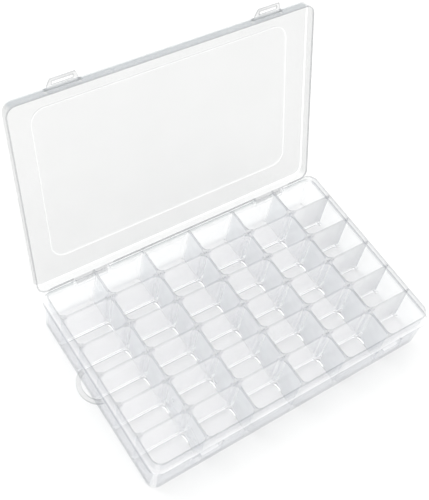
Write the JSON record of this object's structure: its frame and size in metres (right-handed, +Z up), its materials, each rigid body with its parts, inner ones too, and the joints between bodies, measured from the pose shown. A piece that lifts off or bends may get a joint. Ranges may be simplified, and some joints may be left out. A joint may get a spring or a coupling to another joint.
{
  "type": "compartment organiser box",
  "caption": "Flat clear box with a hinged lid, two snap latches, a hanging loop and a grid of small compartments formed by fixed walls and lift-out dividers.",
  "frame": {"origin": "centre of the tray's flat underside", "axes": "+X along the hinge line, +Y towards the hinge, +Z up"},
  "size_m": [0.2844, 0.2394, 0.2059],
  "materials": {
    "clear_tray": "clear polished polystyrene or polypropylene, slightly cool",
    "clear_lid": "clear polished plastic",
    "clear_latch": "clear polished plastic",
    "clear_divider": "clear polished plastic"
  },
  "bodies": {
    "tray": {"tray": "clear_tray"},
    "lid": {"lid": "clear_lid"},
    "latch_left": {"latch_left": "clear_latch"},
    "latch_right": {"latch_right": "clear_latch"},
    "divider_1_1": {"divider_1_1": "clear_divider"},
    "divider_1_2": {"divider_1_2": "clear_divider"},
    "divider_1_3": {"divider_1_3": "clear_divider"},
    "divider_1_4": {"divider_1_4": "clear_divider"},
    "divider_1_5": {"divider_1_5": "clear_divider"},
    "divider_2_1": {"divider_2_1": "clear_divider"},
    "divider_2_2": {"divider_2_2": "clear_divider"},
    "divider_2_3": {"divider_2_3": "clear_divider"},
    "divider_2_4": {"divider_2_4": "clear_divider"},
    "divider_2_5": {"divider_2_5": "clear_divider"},
    "divider_3_1": {"divider_3_1": "clear_divider"},
    "divider_3_2": {"divider_3_2": "clear_divider"},
    "divider_3_3": {"divider_3_3": "clear_divider"},
    "divider_3_4": {"divider_3_4": "clear_divider"},
    "divider_3_5": {"divider_3_5": "clear_divider"},
    "divider_4_1": {"divider_4_1": "clear_divider"},
    "divider_4_2": {"divider_4_2": "clear_divider"},
    "divider_4_3": {"divider_4_3": "clear_divider"},
    "divider_4_4": {"divider_4_4": "clear_divider"},
    "divider_4_5": {"divider_4_5": "clear_divider"},
    "divider_5_1": {"divider_5_1": "clear_divider"},
    "divider_5_2": {"divider_5_2": "clear_divider"},
    "divider_5_3": {"divider_5_3": "clear_divider"},
    "divider_5_4": {"divider_5_4": "clear_divider"},
    "divider_5_5": {"divider_5_5": "clear_divider"},
    "divider_6_1": {"divider_6_1": "clear_divider"},
    "divider_6_2": {"divider_6_2": "clear_divider"},
    "divider_6_3": {"divider_6_3": "clear_divider"},
    "divider_6_4": {"divider_6_4": "clear_divider"},
    "divider_6_5": {"divider_6_5": "clear_divider"}
  },
  "joints": [
    {"name": "lid_hinge", "type": "hinge", "parent": "tray", "child": "lid", "pos_m": [0, 0.0867, 0.0313], "axis": [-1, 0, 0], "range_deg": [-107.1, 0]},
    {"name": "latch_left_pivot", "type": "hinge", "parent": "lid", "child": "latch_left", "pos_m": [-0.0891, 0.14307, 0.19684], "axis": [-1, 0, 0], "range_deg": [-75, 0]},
    {"name": "latch_right_pivot", "type": "hinge", "parent": "lid", "child": "latch_right", "pos_m": [0.0891, 0.14307, 0.19684], "axis": [-1, 0, 0], "range_deg": [-75, 0]},
    {"name": "divider_1_1_lift", "type": "slide", "parent": "tray", "child": "divider_1_1", "axis": [0, 0, 1], "range_m": [0, 0.045]},
    {"name": "divider_1_2_lift", "type": "slide", "parent": "tray", "child": "divider_1_2", "axis": [0, 0, 1], "range_m": [0, 0.045]},
    {"name": "divider_1_3_lift", "type": "slide", "parent": "tray", "child": "divider_1_3", "axis": [0, 0, 1], "range_m": [0, 0.045]},
    {"name": "divider_1_4_lift", "type": "slide", "parent": "tray", "child": "divider_1_4", "axis": [0, 0, 1], "range_m": [0, 0.045]},
    {"name": "divider_1_5_lift", "type": "slide", "parent": "tray", "child": "divider_1_5", "axis": [0, 0, 1], "range_m": [0, 0.045]},
    {"name": "divider_2_1_lift", "type": "slide", "parent": "tray", "child": "divider_2_1", "axis": [0, 0, 1], "range_m": [0, 0.045]},
    {"name": "divider_2_2_lift", "type": "slide", "parent": "tray", "child": "divider_2_2", "axis": [0, 0, 1], "range_m": [0, 0.045]},
    {"name": "divider_2_3_lift", "type": "slide", "parent": "tray", "child": "divider_2_3", "axis": [0, 0, 1], "range_m": [0, 0.045]},
    {"name": "divider_2_4_lift", "type": "slide", "parent": "tray", "child": "divider_2_4", "axis": [0, 0, 1], "range_m": [0, 0.045]},
    {"name": "divider_2_5_lift", "type": "slide", "parent": "tray", "child": "divider_2_5", "axis": [0, 0, 1], "range_m": [0, 0.045]},
    {"name": "divider_3_1_lift", "type": "slide", "parent": "tray", "child": "divider_3_1", "axis": [0, 0, 1], "range_m": [0, 0.045]},
    {"name": "divider_3_2_lift", "type": "slide", "parent": "tray", "child": "divider_3_2", "axis": [0, 0, 1], "range_m": [0, 0.045]},
    {"name": "divider_3_3_lift", "type": "slide", "parent": "tray", "child": "divider_3_3", "axis": [0, 0, 1], "range_m": [0, 0.045]},
    {"name": "divider_3_4_lift", "type": "slide", "parent": "tray", "child": "divider_3_4", "axis": [0, 0, 1], "range_m": [0, 0.045]},
    {"name": "divider_3_5_lift", "type": "slide", "parent": "tray", "child": "divider_3_5", "axis": [0, 0, 1], "range_m": [0, 0.045]},
    {"name": "divider_4_1_lift", "type": "slide", "parent": "tray", "child": "divider_4_1", "axis": [0, 0, 1], "range_m": [0, 0.045]},
    {"name": "divider_4_2_lift", "type": "slide", "parent": "tray", "child": "divider_4_2", "axis": [0, 0, 1], "range_m": [0, 0.045]},
    {"name": "divider_4_3_lift", "type": "slide", "parent": "tray", "child": "divider_4_3", "axis": [0, 0, 1], "range_m": [0, 0.045]},
    {"name": "divider_4_4_lift", "type": "slide", "parent": "tray", "child": "divider_4_4", "axis": [0, 0, 1], "range_m": [0, 0.045]},
    {"name": "divider_4_5_lift", "type": "slide", "parent": "tray", "child": "divider_4_5", "axis": [0, 0, 1], "range_m": [0, 0.045]},
    {"name": "divider_5_1_lift", "type": "slide", "parent": "tray", "child": "divider_5_1", "axis": [0, 0, 1], "range_m": [0, 0.045]},
    {"name": "divider_5_2_lift", "type": "slide", "parent": "tray", "child": "divider_5_2", "axis": [0, 0, 1], "range_m": [0, 0.045]},
    {"name": "divider_5_3_lift", "type": "slide", "parent": "tray", "child": "divider_5_3", "axis": [0, 0, 1], "range_m": [0, 0.045]},
    {"name": "divider_5_4_lift", "type": "slide", "parent": "tray", "child": "divider_5_4", "axis": [0, 0, 1], "range_m": [0, 0.045]},
    {"name": "divider_5_5_lift", "type": "slide", "parent": "tray", "child": "divider_5_5", "axis": [0, 0, 1], "range_m": [0, 0.045]},
    {"name": "divider_6_1_lift", "type": "slide", "parent": "tray", "child": "divider_6_1", "axis": [0, 0, 1], "range_m": [0, 0.045]},
    {"name": "divider_6_2_lift", "type": "slide", "parent": "tray", "child": "divider_6_2", "axis": [0, 0, 1], "range_m": [0, 0.045]},
    {"name": "divider_6_3_lift", "type": "slide", "parent": "tray", "child": "divider_6_3", "axis": [0, 0, 1], "range_m": [0, 0.045]},
    {"name": "divider_6_4_lift", "type": "slide", "parent": "tray", "child": "divider_6_4", "axis": [0, 0, 1], "range_m": [0, 0.045]},
    {"name": "divider_6_5_lift", "type": "slide", "parent": "tray", "child": "divider_6_5", "axis": [0, 0, 1], "range_m": [0, 0.045]}
  ]
}
